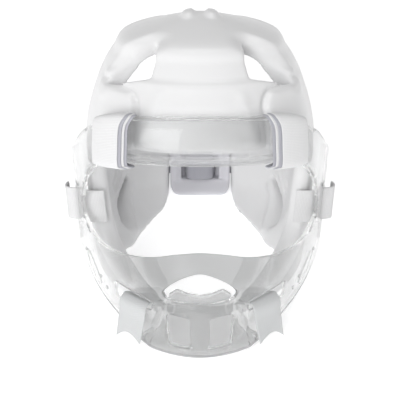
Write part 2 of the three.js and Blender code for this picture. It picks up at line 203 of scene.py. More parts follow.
CHIN_PLATE = table(
    "x y",
    (0, -54),
    (9, -52),
    (20, -46),
    (27, -52),
    (28.5, -80),
    (34, -92),
    (50, -99),
    (58, -99),
)
BAR_FLANGE = 7
BAR_FACE = dict(rise=1.6, from_brow=(5, 9), below_top=(-8, -4), ends=(44, 50))
CHIN_BLOCK = dict(rise=2.6, top=(-80, -76), crease=18.2, crease_z=-78.5, lean=0.187, soft=1.2)
OPENING_LIP = dict(rise=1.1, width=2.6)


def smoothstep(value, start, end):
    """A soft step from 0 at start to 1 at end."""
    share = np.clip((value - start) / (end - start), 0, 1)
    return share * share * (3 - 2 * share)


def swell(distance, width):
    """A soft ridge: the bell curve of the distance over the width, 1 at no distance."""
    return np.exp(-((distance / width) ** 2))


def signed_power(value, power):
    """A number raised to a power with its sign kept."""
    return np.sign(value) * np.abs(value) ** power


def cubic(places, values, at):
    """A smooth curve through values: cubic pieces, each row's slope taken from its two neighbours."""
    slopes = np.gradient(values, places)
    at = np.clip(at, places[0], places[-1])
    row = np.clip(np.searchsorted(places, at) - 1, 0, len(places) - 2)
    span = places[row + 1] - places[row]
    t = (at - places[row]) / span
    ends = values[row] * (1 + 2 * t) * (1 - t) ** 2 + values[row + 1] * t * t * (3 - 2 * t)
    return ends + span * (slopes[row] * t * (1 - t) ** 2 - slopes[row + 1] * t * t * (1 - t))


def sections(rows, z):
    """The sizes of the round section at each height."""
    return {name: cubic(rows["z"], rows[name], z) for name in rows if name != "z"}


def stand(points):
    """Points of the wearer's frame, in mm, leaned back onto the table, in metres."""
    x, y, z = np.moveaxis(np.asarray(points, float), -1, 0)
    back = y * np.cos(LEAN) + z * np.sin(LEAN) + SET_BACK
    up = z * np.cos(LEAN) - y * np.sin(LEAN) + EAR_HEIGHT
    return np.stack([x, back, up], -1) / 1000


def table_height(y, z):
    """Height above the table of points of the wearer's frame, in mm."""
    return z * np.cos(LEAN) - y * np.sin(LEAN) + EAR_HEIGHT


def narrowing(z, crown):
    """Share of the widest section left at a height of the dome; past the crown it runs on below nought."""
    share = np.maximum(z - WIDEST, 0) / (crown - WIDEST)
    over = np.maximum(share - 1, 0)
    return cubic(DOME["height"], DOME["narrow"], share) - PAST_CROWN_SLOPE * over


def shell_point(angle, z, rows, crown):
    """Point of the shell's surface: a superellipse of the section at z, narrowed by the dome."""
    size = sections(rows, np.minimum(z, WIDEST))
    narrow = narrowing(z, crown)
    turn = np.radians(angle)
    ahead = signed_power(np.cos(turn), 2 / size["square"])
    x = size["side"] * signed_power(np.sin(turn), 2 / size["square"])
    y = -ahead * np.where(ahead > 0, size["front"], size["back"])
    return np.stack(np.broadcast_arrays(x * narrow, y * narrow, z), -1)


def shield_point(angle, z, ahead=0.0):
    """Point of the shield's outer face, or ahead of it: a superellipse about a line behind the ears."""
    size = sections(SHIELD, z)
    turn = np.radians(angle)
    x = (size["side"] + ahead) * signed_power(np.sin(turn), 2 / size["square"])
    y = SHIELD_BACK - signed_power(np.cos(turn), 2 / size["square"]) * (size["front"] + ahead + SHIELD_BACK)
    return np.stack(np.broadcast_arrays(x, y, z), -1)


def rounded(corners, radius, steps=6):
    """Closed outline whose corners are swept by parabolas that start a radius away, or half an edge."""
    def towards(other):
        run = other - corners
        length = np.linalg.norm(run, axis=1, keepdims=True)
        return corners + run * np.minimum(radius / np.maximum(length, 1e-9), 0.5)
    start = towards(np.roll(corners, 1, axis=0))
    end = towards(np.roll(corners, -1, axis=0))
    t = np.linspace(0, 1, steps)[:, None, None]
    arcs = start * (1 - t) ** 2 + 2 * corners * t * (1 - t) + end * t * t
    return arcs.transpose(1, 0, 2).reshape(-1, 2)


def spaced(ring, gap):
    """A closed outline with its points set evenly along it."""
    closed = np.vstack([ring, ring[:1]])
    length = np.r_[0, np.cumsum(np.linalg.norm(np.diff(closed, axis=0), axis=1))]
    at = np.linspace(0, length[-1], int(length[-1] / gap) + 1)[:-1]
    return np.stack([np.interp(at, length, column) for column in closed.T], -1)


def outline(rows, mirrored=False):
    """Corners of an opening: along its lower edge and back along its upper edge, (angle, z)."""
    lower = np.stack([rows["angle"], rows["low"]], -1)
    upper = np.stack([rows["angle"], rows["high"]], -1)
    if mirrored:
        other = np.array([-1, 1])
        lower = np.vstack([lower[:0:-1] * other, lower])
        upper = np.vstack([upper[:0:-1] * other, upper])
    return np.vstack([lower, upper[::-1]])


def inside_outline(points, ring):
    """Which points lie in a closed outline, by counting its edges to the right of each."""
    x, y = points.T
    crossings = np.zeros(len(points), int)
    for (ax, ay), (bx, by) in zip(ring, np.roll(ring, -1, axis=0)):
        spans = (ay > y) != (by > y)
        rise = by - ay if by != ay else 1.0
        crossings += spans & (x < ax + (y - ay) / rise * (bx - ax))
    return crossings % 2 == 1


def outline_depth(points, ring):
    """Distance of points from a closed outline: positive inside it."""
    nearest = np.full(len(points), np.inf)
    for a, b in zip(ring, np.roll(ring, -1, axis=0)):
        run = b - a
        share = np.clip((points - a) @ run / max(run @ run, 1e-9), 0, 1)
        nearest = np.minimum(nearest, ((points - a - share[:, None] * run) ** 2).sum(1))
    return np.where(inside_outline(points, ring), 1, -1) * np.sqrt(nearest)


# Materials.
class Socket:
    """A shader value: arithmetic on it adds Math nodes."""

    def __init__(self, finish, socket):
        self.finish = finish
        self.socket = socket

    def math(self, operation, *values):
        """A Math node of this kind on these values."""
        numbered = dict(enumerate(values))
        return self.finish.node("ShaderNodeMath", {"operation": operation}, numbered)

    def __add__(self, other):
        return self.math("ADD", self, other)

    def __sub__(self, other):
        return self.math("SUBTRACT", self, other)

    def __rsub__(self, other):
        return self.math("SUBTRACT", other, self)

    def __mul__(self, other):
        return self.math("MULTIPLY", self, other)

    def __pow__(self, other):
        return self.math("POWER", self, other)

    __radd__ = __add__
    __rmul__ = __mul__

    def sine(self):
        """The sine of the value, in radians."""
        return self.math("SINE", self)

    def size(self):
        """The value without its sign."""
        return self.math("ABSOLUTE", self)


class Finish:
    """A material built from nodes."""

    def __init__(self, name):
        self.material = bpy.data.materials.new(name)
        self.material.use_nodes = True
        self.tree = self.material.node_tree
        self.tree.nodes.clear()

    def node(self, kind, settings=(), values=(), outlet=0):
        """Adds a node, with its settings and its inputs' values or links, and gives one of its outputs."""
        made = self.tree.nodes.new(kind)
        for name, setting in dict(settings).items():
            setattr(made, name, setting)
        for name, value in dict(values).items():
            if isinstance(value, Socket):
                self.tree.links.new(value.socket, made.inputs[name])
            else:
                made.inputs[name].default_value = value
        return Socket(self, made.outputs[outlet]) if made.outputs else None

    def place(self):
        """The surface point in the part's own frame, in metres."""
        return self.node("ShaderNodeTexCoord", outlet="Object")

    def part(self, axis, vector=None):
        """One coordinate of the surface point, or of a vector."""
        return self.node("ShaderNodeSeparateXYZ", (), {"Vector": vector or self.place()}, axis)

    def ramp(self, value, start, end):
        """A soft step from 0 where the value is at the start to 1 at the end."""
        ends = {"Value": value, "From Min": start, "From Max": end}
        return self.node("ShaderNodeMapRange", {"interpolation_type": "SMOOTHSTEP"}, ends, "Result")

    def noise(self, scale, detail):
        """Soft noise from 0 to 1 over the surface, with so many waves to the metre."""
        values = {"Vector": self.place(), "Scale": scale, "Detail": detail}
        return self.node("ShaderNodeTexNoise", (), values, "Fac")

    def blend(self, share, first, second):
        """The first colour at a share of 0, the second at 1."""
        settings = {"data_type": "RGBA"}
        return self.node("ShaderNodeMix", settings, {0: share, 6: first, 7: second}, 2)

    def bump(self, height, strength, distance):
        """A normal tilted by a height, whose full range is this distance in metres."""
        values = {"Height": height, "Strength": strength, "Distance": distance}
        return self.node("ShaderNodeBump", (), values, "Normal")

    def surface(self, values):
        """Ends the material in a Principled shader with these inputs."""
        shader = self.node("ShaderNodeBsdfPrincipled", (), values, "BSDF")
        self.node("ShaderNodeOutputMaterial", (), {"Surface": shader})
        return self.material


def foam_skin(name, light, shade, roughness):
    """Satin vinyl skin on foam: soft colour drift, faint scuffs, orange peel and fine pores."""
    finish = Finish(name)
    drift = finish.noise(14, 3.0)
    scuffs = finish.noise(95, 6.0)
    peel = finish.noise(420, 2.0)
    pores = finish.noise(1900, 1.0)
    colour = finish.blend(drift * 0.7 + scuffs * 0.3, light, shade)
    return finish.surface({
        "Base Color": colour,
        "Roughness": roughness + (scuffs - 0.5) * 0.18,
        "Normal": finish.bump(peel * 0.7 + pores * 0.3, 0.16, 0.0004),
        "Coat Weight": 0.12,
        "Coat Roughness": 0.3,
        "Specular IOR Level": 0.45,
    })


def clear_moulding():
    """Clear glossy plastic with hazy scuffs and mould ripple, with painted shade that darkens it most in the
    middle, over the nose.
    """
    finish = Finish("clear_moulding")
    low = finish.ramp(finish.part("Z"), 0.15, 0.095)
    middle = finish.ramp(finish.part("X").size(), 0.085, 0.045)
    above_chin = finish.ramp(finish.part("Z"), 0.045, 0.068)
    # Painted shade for the shaded floor seen through the plastic: darker low down, most in the middle and
    # least over the chin.
    painted_shade = low * (middle * 0.7 + 0.3) * (above_chin * 0.65 + 0.35)
    tint_and_painted_shade = finish.blend(painted_shade, (0.87, 0.875, 0.875, 1), (0.42, 0.425, 0.425, 1))
    haze = finish.noise(60, 5.0)
    ripple = finish.noise(38, 1.0)
    return finish.surface({
        "Base Color": tint_and_painted_shade,
        "Roughness": 0.02 + haze ** 3 * 0.12,
        "Normal": finish.bump(ripple, 0.10, 0.001),
        "Transmission Weight": 1.0,
        "IOR": 1.42,
        "Alpha": 0.72,
    })


def woven(name, light, shade, pitch, slant):
    """Webbing: ribs along and across the strap, in mm on its own map, with fuzz between the yarns."""
    finish = Finish(name)
    flat = finish.node("ShaderNodeUVMap", {"uv_map": "weave"})
    lengthwise, across = finish.part("X", flat), finish.part("Y", flat)
    turn = 2 * np.pi / pitch
    ribs = ((lengthwise + across * slant) * turn).sine()
    picks = (across * (turn * 0.5)).sine().size()
    fuzz = finish.noise(2600, 3.0)
    weave = ribs * 0.35 + picks * 0.4 + fuzz * 0.5
    return finish.surface({
        "Base Color": finish.blend(weave * 0.5 + 0.25, shade, light),
        "Roughness": 0.78 + fuzz * 0.15,
        "Normal": finish.bump(weave, 0.5, 0.0004),
        "Sheen Weight": 0.25,
    })


WHITE_FOAM = foam_skin("white_dipped_foam", (0.80, 0.80, 0.803, 1), (0.76, 0.76, 0.766, 1), 0.36)
# The nape pad's foam: the white foam made darker as painted shade of the helmet's inside, with a slight lilac
# tint.
PAD_FOAM_PAINTED_SHADE = foam_skin("lilac_pad_foam_painted_shade", (0.70, 0.695, 0.735, 1), (0.655, 0.65, 0.69, 1), 0.5)
CLEAR = clear_moulding()
WEBBING_WHITE = woven("white_webbing", (0.76, 0.76, 0.76, 1), (0.64, 0.64, 0.65, 1), 1.3, 0.0)
# Grey webbing: hook tape on the forehead straps, made darker as painted shade between their layers; on the
# rear strap, which is white, it is painted shade in the pad's slots.
GREY_WEBBING_AND_PAINTED_SHADE = woven("grey_webbing_and_painted_shade", (0.46, 0.46, 0.50, 1), (0.34, 0.34, 0.38, 1), 1.1, 0.0)
TWILL = woven("white_twill", (0.62, 0.63, 0.63, 1), (0.50, 0.51, 0.52, 1), 1.9, 0.8)


def keep(name, points, faces, finish, node=None, flat_map=None):
    """Puts points of the wearer's frame and their faces into a smooth mesh that rides on the part."""
    mesh = bpy.data.meshes.new(name)
    mesh.from_pydata(stand(points), [], faces)
    mesh.polygons.foreach_set("use_smooth", np.ones(len(mesh.polygons), bool))
    if flat_map is not None:
        layer = mesh.uv_layers.new(name="weave")
        corners = np.empty(len(mesh.loops), np.int32)
        mesh.loops.foreach_get("vertex_index", corners)
        layer.uv.foreach_set("vector", flat_map[corners].astype(np.float32).ravel())
    mesh.materials.append(finish)
    piece = bpy.data.objects.new(name, mesh)
    bpy.context.collection.objects.link(piece)
    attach(piece, "root")
    if node:
        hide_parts(node)
    return piece


def thicken(piece, thickness, offset, edge):
    """Gives a sheet its thickness, in mm, and rounds its edges."""
    wall = piece.modifiers.new("wall", "SOLIDIFY")
    wall.thickness = thickness / 1000
    wall.offset = offset
    wall.use_even_offset = True
    soft = piece.modifiers.new("edges", "BEVEL")
    soft.width = edge / 1000
    soft.segments = 2
    soft.limit_method = "ANGLE"
    soft.angle_limit = np.radians(50)


# The foam: a field that is positive in the foam, over a grid of points, and the skin where it passes nought.
# A depth of NOWHERE is far outside. ARC is the length of a degree round the shell, 100 mm from its middle,
# and the lining's is LINING_SHARE of it.
NOWHERE = -60.0
EASING = (0.5, -0.53)
ARC = np.pi / 180 * 100
LINING_SHARE = 0.85
VENT_CENTRE = np.array([0.0, 0.0, WIDEST])
VENT_CORNER = 14
VENT_PAST = 20
VENT_EDGE = dict(plain=4, flare=13, past_angle=(30, 42), past_level=(120, 132), levels=(96, 116))
EDGE_ROUND = dict(lining=3, rear_vent=9, face=9, face_corner=12, chin=7, nape=7, table=4)
PAD_ROUND = dict(faces=5, outline=3.5, slot=2, table=3)


def soft_min(a, b, round_off):
    """The lesser of two depths, eased where they are alike, which rounds the edge between two faces."""
    close = np.maximum(round_off - np.abs(a - b), 0) / round_off
    return np.minimum(a, b) - close * close * round_off / 4


def skin(field, low, step, passes):
    """Closed surface where a field passes nought.

    Each cell that it crosses holds a point, at the mean of the crossings on the cell's edges. Each grid edge
    that it crosses gets a face through the four cells round it. The points are then eased towards their
    neighbours and back.
    """
    cells = np.array(field.shape) - 1
    total = np.zeros((*cells, 3))
    count = np.zeros(cells)
    edges = []
    for axis in range(3):
        first = np.moveaxis(field, axis, 0)[:-1]
        second = np.moveaxis(field, axis, 0)[1:]
        crosses = (first > 0) != (second > 0)
        share = np.where(crosses, first / np.where(crosses, first - second, 1), 0)
        edges.append((crosses, first > 0))
        turned_total = np.moveaxis(total, axis, 0)
        turned_count = np.moveaxis(count, axis, 0)
        others = [other for other in range(3) if other != axis]
        for i in (0, 1):
            for j in (0, 1):
                part = (slice(None), slice(i, cells[others[0]] + i), slice(j, cells[others[1]] + j))
                hit = crosses[part]
                turned_count += hit
                turned_total[..., axis] += share[part]
                turned_total[..., others[0]] += i * hit
                turned_total[..., others[1]] += j * hit
    held = count > 0
    number = np.full(cells, -1)
    number[held] = np.arange(held.sum())
    points = np.argwhere(held) + total[held] / count[held][:, None]
    faces = []
    for axis, (crosses, out) in enumerate(edges):
        turned = np.moveaxis(number, axis, 0)
        i, j, k = np.nonzero(crosses[:, 1:-1, 1:-1])
        round_edge = (turned[i, j, k], turned[i, j + 1, k], turned[i, j + 1, k + 1], turned[i, j, k + 1])
        ring = np.stack(round_edge, -1)
        flip = out[:, 1:-1, 1:-1][i, j, k] ^ (axis == 1)
        faces.append(np.where(flip[:, None], ring, ring[:, ::-1]))
    faces = np.vstack(faces)
    pairs = np.vstack([faces[:, [a, b]] for a, b in ((0, 1), (1, 2), (2, 3), (3, 0))])
    number_of = np.bincount(pairs.ravel(), minlength=len(points))
    for strength in EASING * passes:
        pull = np.stack([
            np.bincount(pairs[:, 0], column[pairs[:, 1]], len(points))
            + np.bincount(pairs[:, 1], column[pairs[:, 0]], len(points))
            for column in points.T
        ], -1)
        points = points + strength * (pull / number_of[:, None] - points)
    return np.asarray(low) + points * step, faces


def grid(low, high, step):
    """Coordinates of a block of points, as three arrays that spread over each other."""
    axes = [np.arange(a, b, step) for a, b in zip(low, high)]
    return np.meshgrid(*axes, indexing="ij")


def wall_depth(x, y, z, rows, crown, step):
    """Depth below a round wall, and the angle round it.

    The depth is the dome's narrowing less the superellipse radius of the point, over the slope of that
    difference.
    """
    level = np.minimum(z[0, 0], WIDEST)
    size = sections(rows, level)
    across = np.abs(x) / size["side"]
    ahead = np.abs(y) / np.where(y < 0, size["front"], size["back"])
    square = size["square"]
    radius = (across ** square + ahead ** square) ** (1 / square)
    inside = narrowing(z[0, 0], crown) - radius
    slope = np.sqrt(sum(part * part for part in np.gradient(inside, step)))
    forward = np.where(y < 0, 1, -1) * ahead ** (square / 2)
    angle = np.degrees(np.arctan2(across ** (square / 2), forward))
    return inside / np.maximum(slope, 1e-4), angle


def patch(angle, z, spot):
    """A patch that is 1 to halfway out from its middle and falls softly to 0 at its edges."""
    across = smoothstep(np.abs(angle - spot["angle"]) / spot["half_angle"], 0.5, 1)
    along = smoothstep(np.abs(z - spot["z"]) / spot["half_height"], 0.5, 1)
    return (1 - across) * (1 - along)


def vent_depth(x, y, z, rows):
    """Depth inside a vent that runs out from the middle of the head.

    Points and outline are seen from the vent's centre and laid on a plane square to the line to the vent's
    middle, as far off as its outline on the shell. A front vent is cut to VENT_PAST behind the head's middle,
    and a rear vent as far ahead of it.
    """
    angle, level = rounded(outline(rows), VENT_CORNER).T
    rim = shell_point(angle, level, OUTER, OUTER_CROWN) - VENT_CENTRE
    away = rim.mean(0)
    reach = np.linalg.norm(away)
    away = away / reach
    side = np.cross([0, 0, 1], away)
    side = side / np.linalg.norm(side)
    axes = np.stack([side, np.cross(away, side)], -1)
    ring = rim @ axes / (rim @ away)[:, None] * reach
    near = (z > WIDEST) & (np.where(angle.mean() < 90, -y, y) > -VENT_PAST)
    points = np.stack([np.abs(x[near]), y[near], z[near]], -1) - VENT_CENTRE
    far = np.maximum(points @ away, 1)
    depth = np.full(x.shape, NOWHERE)
    depth[near] = outline_depth(points @ axes / far[:, None] * reach, ring) * far / reach
    return depth


def box_depth(across, up, half_width, low, high, corner):
    """Depth inside a round-cornered rectangle."""
    side = np.abs(across) - half_width + corner
    rise = np.abs(up - (low + high) / 2) - (high - low) / 2 + corner
    outside = np.hypot(np.maximum(side, 0), np.maximum(rise, 0))
    return corner - outside - np.minimum(np.maximum(side, rise), 0)


def shell_relief(x, y, z, angle, front, rear):
    """How far the shell's outer skin stands proud of the plain dome, in mm.

    The brow pads are round-cornered panels with a groove round them. The forehead band stands proud of the
    panel above it and has a soft rib beside each pad. The side bands swell next to the vents, the crown has
    two knobs, and the ears bulge.
    """
    aside = angle - BROW_PAD["angle"]
    level = z - BROW_PAD["slant"] * aside
    half_width = BROW_PAD["half_angle"] * ARC
    pad = box_depth(aside * ARC, level, half_width, BROW_PAD["low"], BROW_PAD["high"], BROW_PAD["corner"])
    rise = BROW_PAD["rise"] * smoothstep(pad, *BROW_PAD["edge"])
    rise = rise - BROW_PAD["groove"] * swell(pad, BROW_PAD["groove_width"])
    level = z - FOREHEAD_BAND["slant"] * (angle - FOREHEAD_BAND["level_angle"])
    band = 1 - smoothstep(level, *FOREHEAD_BAND["top"])
    rise += FOREHEAD_BAND["rise"] * band * smoothstep(z, *FOREHEAD_BAND["foot"])
    rib = swell(angle - RIB["angle"] + RIB["slant"] * (z - RIB["z"]), RIB["width"])
    rise += RIB["rise"] * rib * smoothstep(z, *RIB["foot"]) * (1 - smoothstep(z, *RIB["top"]))
    rise = rise * (1 - smoothstep(angle, *FOREHEAD_BAND["ends"]))
    for vent, start in ((front, SIDE_BAND["front_from"]), (rear, SIDE_BAND["rear_from"])):
        beside = swell(vent + SIDE_BAND["beside_vent"], SIDE_BAND["width"])
        rise += SIDE_BAND["rise"] * beside * smoothstep(angle, start, start + SIDE_BAND["fade"])
    knob = np.hypot((np.abs(x) - KNOB["x"]) / KNOB["half_width"], (y - KNOB["y"]) / KNOB["half_length"])
    rise += KNOB["rise"] * (1 - smoothstep(knob, *KNOB["edge"])) * (z > KNOB["above"])
    rise += EAR["bulge"] * patch(angle, z, EAR) * (1 - smoothstep(angle, *EAR["fade"]))
    return rise


def shell_hollow(angle, z):
    """How far the lining is cut back, in mm.

    The ear recess has a leaf-shaped slot that climbs at 45 degrees, a lip behind it and ridges before it. The
    neck pads stand in from the lining.
    """
    cut = EAR["recess"] * patch(angle, z, EAR) - NECK_PAD["rise"] * patch(angle, z, NECK_PAD)
    across, up = (angle - EAR_SLOT["angle"]) * ARC * LINING_SHARE, z - EAR_SLOT["z"]
    climb, aside = (across + up) * np.sqrt(0.5), (across - up) * np.sqrt(0.5)
    half = EAR_SLOT["half_width"] * (1 - EAR_SLOT["taper"] * smoothstep(climb, *EAR_SLOT["taper_along"]))
    ends = 1 - smoothstep(np.abs(climb), *EAR_SLOT["tips"])
    cut += EAR_SLOT["depth"] * (1 - smoothstep(np.abs(aside) / half, *EAR_SLOT["edge"])) * ends
    cut -= EAR_LIP["rise"] * swell(aside - half - EAR_LIP["beside"], EAR_LIP["width"]) * ends
    ridge = np.cos((aside + EAR_RIDGES["shift"]) * 2 * np.pi / EAR_RIDGES["pitch"])
    near = smoothstep(-aside, *(half + gap for gap in EAR_RIDGES["beside"]))
    near = near * (1 - smoothstep(-aside, *EAR_RIDGES["reach"]))
    ridge = EAR_RIDGES["rise"] * ridge * near
    cut += ridge * smoothstep(climb, *EAR_RIDGES["foot"]) * (1 - smoothstep(climb, *EAR_RIDGES["head"]))
    return cut


def foam_shell():
    """The helmet: between its two walls, less the vents, the face, chin and nape openings and the table."""
    step = 1.9
    low, high = (-118, -126, -138), (118, 130, 154)
    x, y, z = grid(low, high, step)
    outer, angle = wall_depth(x, y, z, OUTER, OUTER_CROWN, step)
    inner, inner_angle = wall_depth(x, y, z, INNER, INNER_CROWN, step)
    front, rear = vent_depth(x, y, z, FRONT_VENT), vent_depth(x, y, z, REAR_VENT)
    outer += shell_relief(x, y, z, angle, front, rear)
    inner += shell_hollow(inner_angle, z)
    past_panel = np.maximum(
        smoothstep(angle, *VENT_EDGE["past_angle"]), smoothstep(z, *VENT_EDGE["past_level"])
    )
    flare = VENT_EDGE["flare"] * past_panel * smoothstep(z, *VENT_EDGE["levels"])
    foam = soft_min(soft_min(outer, -front, VENT_EDGE["plain"] + flare), -inner, EDGE_ROUND["lining"])
    face = rounded(outline(FACE_OPENING, True) * (ARC, 1), EDGE_ROUND["face_corner"])
    near = (outer > -FACE_REACH["outside"]) & (y < FACE_REACH["before"])
    opening = np.full(x.shape, NOWHERE)
    opening[near] = outline_depth(np.stack([angle[near] * ARC, z[near]], -1), face)
    chin = np.minimum(CHIN_GAP["half_width"] - np.abs(x), CHIN_GAP["top"] - z)
    chin = np.where(y < CHIN_GAP["before"], chin, NOWHERE)
    nape = box_depth(x, z, NAPE_GAP["half_width"], NAPE_GAP["foot"], NAPE_GAP["top"], NAPE_GAP["corner"])
    nape = np.where(y > NAPE_GAP["behind"], nape, NOWHERE)
    for cut, edge in ((rear, "rear_vent"), (opening, "face"), (chin, "chin"), (nape, "nape")):
        foam = soft_min(foam, -cut, EDGE_ROUND[edge])
    foam = soft_min(foam, table_height(y, z), EDGE_ROUND["table"])
    points, faces = skin(foam, low, step, passes=3)
    piece = keep("foam_shell_skin", points, faces, WHITE_FOAM, "foam_shell")


def rear_pad():
    """The nape pad: the shell's wall inside a round-cornered outline, less its two strap slots."""
    step = 1.1
    low, high = (-36, 45, -58), (36, 126, 28)
    x, y, z = grid(low, high, step)
    outer = wall_depth(x, y, z, OUTER, OUTER_CROWN, step)[0]
    inner = wall_depth(x, y, z, INNER, INNER_CROWN, step)[0]
    level = z - PAD["bow"] * (x / PAD["half_width"]) ** 2
    panel = box_depth(x, level, PAD["half_width"], PAD["foot"], PAD["top"], PAD["corner"])
    lip = PAD["lip"] * smoothstep(-z, *PAD["lip_levels"])
    dish = PAD["dish"] * smoothstep(panel, *PAD["dish_edge"]) * (z > -PAD["lip_levels"][0])
    foam = soft_min(soft_min(outer, lip - inner - dish, PAD_ROUND["faces"]), panel, PAD_ROUND["outline"])
    half_height = SLOT["height"] / 2 - PAD_ROUND["slot"]
    low_end, high_end = SLOT["z"] - half_height, SLOT["z"] + half_height
    narrow = SLOT["outer_width"] / 2
    half_width = narrow + (SLOT["width"] / 2 - narrow) * smoothstep(outer, *SLOT["flare"])
    slot = box_depth(np.abs(x) - SLOT["x"], z, half_width, low_end, high_end, SLOT["corner"])
    foam = soft_min(foam, -slot, PAD_ROUND["slot"])
    foam = soft_min(foam, table_height(y, z), PAD_ROUND["table"])
    points, faces = skin(foam, low, step, passes=5)
    # The pad's darker foam colour is painted shade.
    piece = keep("rear_pad_skin", points, faces, PAD_FOAM_PAINTED_SHADE, "rear_pad")


# The shield: one sheet, drawn flat as (angle, z), trimmed, and carried onto its round form with its folded
# edges. It ends SHEET_END degrees to each side. FLAT is the length of a degree on the flat sheet, FOLD the
# roundness of a fold, and the gaps are those between points along the rim, along the openings and over the
# sheet. The chin is below CHIN_LEVEL.
SHEET_END = 90
FLAT = 2.0
FOLD = 4.0
FLANGE_ENDS = (48, 57)
PLATE_ENDS = (27, 35)
CHIN_LEVEL = -85
RIM_GAP = 1.8
OPENING_GAP = 1.6
SHEET_GAP = 2.3
EDGE_MARGIN = 1.2
SHEET_EDGE = 0.7


def shield_top(turn):
    """Level of the shield's upper edge: a smooth curve through its table."""
    return cubic(SHIELD_EDGES["angle"], SHIELD_EDGES["high"], turn)


def shield_brow(turn):
    """Level of the eye opening's upper edge: a smooth curve through its table."""
    return cubic(EYE_OPENING["angle"], EYE_OPENING["high"], turn)


def shield_foot(angle):
    """Level of the wall's lower edge: its table's, or the ground's, found in a few rounds, where higher."""
    z = np.full(np.shape(angle), -120.0)
    for _ in range(8):
        z = shield_point(angle, z)[..., 1] * np.tan(LEAN) - EAR_HEIGHT / np.cos(LEAN)
    return np.maximum(cubic(SHIELD_EDGES["angle"], SHIELD_EDGES["low"], np.abs(angle)), z)


def flange_share(turn):
    """How much of the bar's flange is left: all of it in front, none at its ends."""
    return 1 - smoothstep(turn, *FLANGE_ENDS)


def plate_share(turn):
    """How much of the plate under the chin is left: all of it in front, none at its ends."""
    return 1 - smoothstep(turn, *PLATE_ENDS)


def plate_depth(angle):
    """How far the plate under the chin runs back from the rim along the table."""
    rim = shield_point(angle, shield_foot(angle))
    reach = np.interp(np.abs(rim[..., 0]), CHIN_PLATE["x"], CHIN_PLATE["y"]) - rim[..., 1]
    return np.maximum(reach, 0) / np.cos(LEAN) * plate_share(np.abs(angle))


def fold(distance, roundness):
    """Splits the distance past a folded edge, with a round bend: what stays on the wall, what has turned."""
    bend = np.sqrt(distance * distance + roundness * roundness)
    return (distance + bend) / 2, (bend - distance) / 2


def shield_relief(angle, z, flat):
    """How far the sheet stands proud: the bar's face, the chin block, a lip round mouth and chin windows."""
    turn = np.abs(angle)
    top, brow = shield_top(turn), shield_brow(turn)
    above_brow = smoothstep(z, *(brow + level for level in BAR_FACE["from_brow"]))
    near_top = smoothstep(z, *(top + level for level in BAR_FACE["below_top"]))
    face = above_brow * (1 - near_top) * (1 - smoothstep(turn, *BAR_FACE["ends"]))
    crease = CHIN_BLOCK["crease"] - CHIN_BLOCK["lean"] * (z - CHIN_BLOCK["crease_z"])
    past_crease = smoothstep(turn, crease - CHIN_BLOCK["soft"], crease + CHIN_BLOCK["soft"])
    block = (1 - smoothstep(z, *CHIN_BLOCK["top"])) * (1 - past_crease)
    rise = BAR_FACE["rise"] * face + CHIN_BLOCK["rise"] * block
    mouth_and_chin = opening_rings()[1:4]
    for ring in mouth_and_chin:
        rise += OPENING_LIP["rise"] * swell(outline_depth(flat, ring), OPENING_LIP["width"])
    return rise


def opening_rings():
    """The sheet's openings as flat outlines: eye, mouth, then each window and slot on both sides."""
    turn = EYE_OPENING["angle"]
    eye = dict(EYE_OPENING, high=EYE_OPENING["high"] - BAR_FLANGE * flange_share(turn))
    rings = []
    for rows, corner in ((eye, 8), (MOUTH, 5)):
        rings.append(rounded(outline(rows, True) * (FLAT, 1), corner))
    for rows, corner in ((CHIN_WINDOW, 3), (STRAP_WINDOW, 2.5), (SIDE_SLOT, 4), (STRAP_SLOT, 2.5)):
        ring = rounded(outline(rows) * (FLAT, 1), corner)
        rings += [ring, ring[::-1] * (-1, 1)]
    return [spaced(ring, OPENING_GAP) for ring in rings]


def shield_sheet(flat):
    """The sheet's flat points carried onto the shield.

    Past the bar's upper and lower edges the sheet turns inwards as a flange, and past the rim under the chin
    it turns back along the ground as the chin plate.
    """
    angle, z = flat[:, 0] / FLAT, flat[:, 1]
    turn = np.abs(angle)
    top, brow, foot = shield_top(turn), shield_brow(turn), shield_foot(angle)
    bend = FOLD * flange_share(turn)
    upper = (z > (top + brow) / 2) & (bend > 0)
    lower = (z > 0) & ~upper & (bend > 0)
    under = (z < CHIN_LEVEL) & (plate_share(turn) > 0)
    from_top, top_turned = fold(top - z, bend)
    from_brow, brow_turned = fold(z - brow, bend)
    from_foot, foot_turned = fold(z - foot, FOLD * plate_share(turn))
    level = np.select([upper, lower, under], [top - from_top, brow + from_brow, foot + from_foot], z)
    inwards = np.select([upper, lower], [top_turned, brow_turned], 0)
    points = shield_point(angle, level, shield_relief(angle, z, flat) - inwards)
    back = np.where(under, foot_turned, 0)
    return points + back[:, None] * np.array([0, np.cos(LEAN), np.sin(LEAN)])


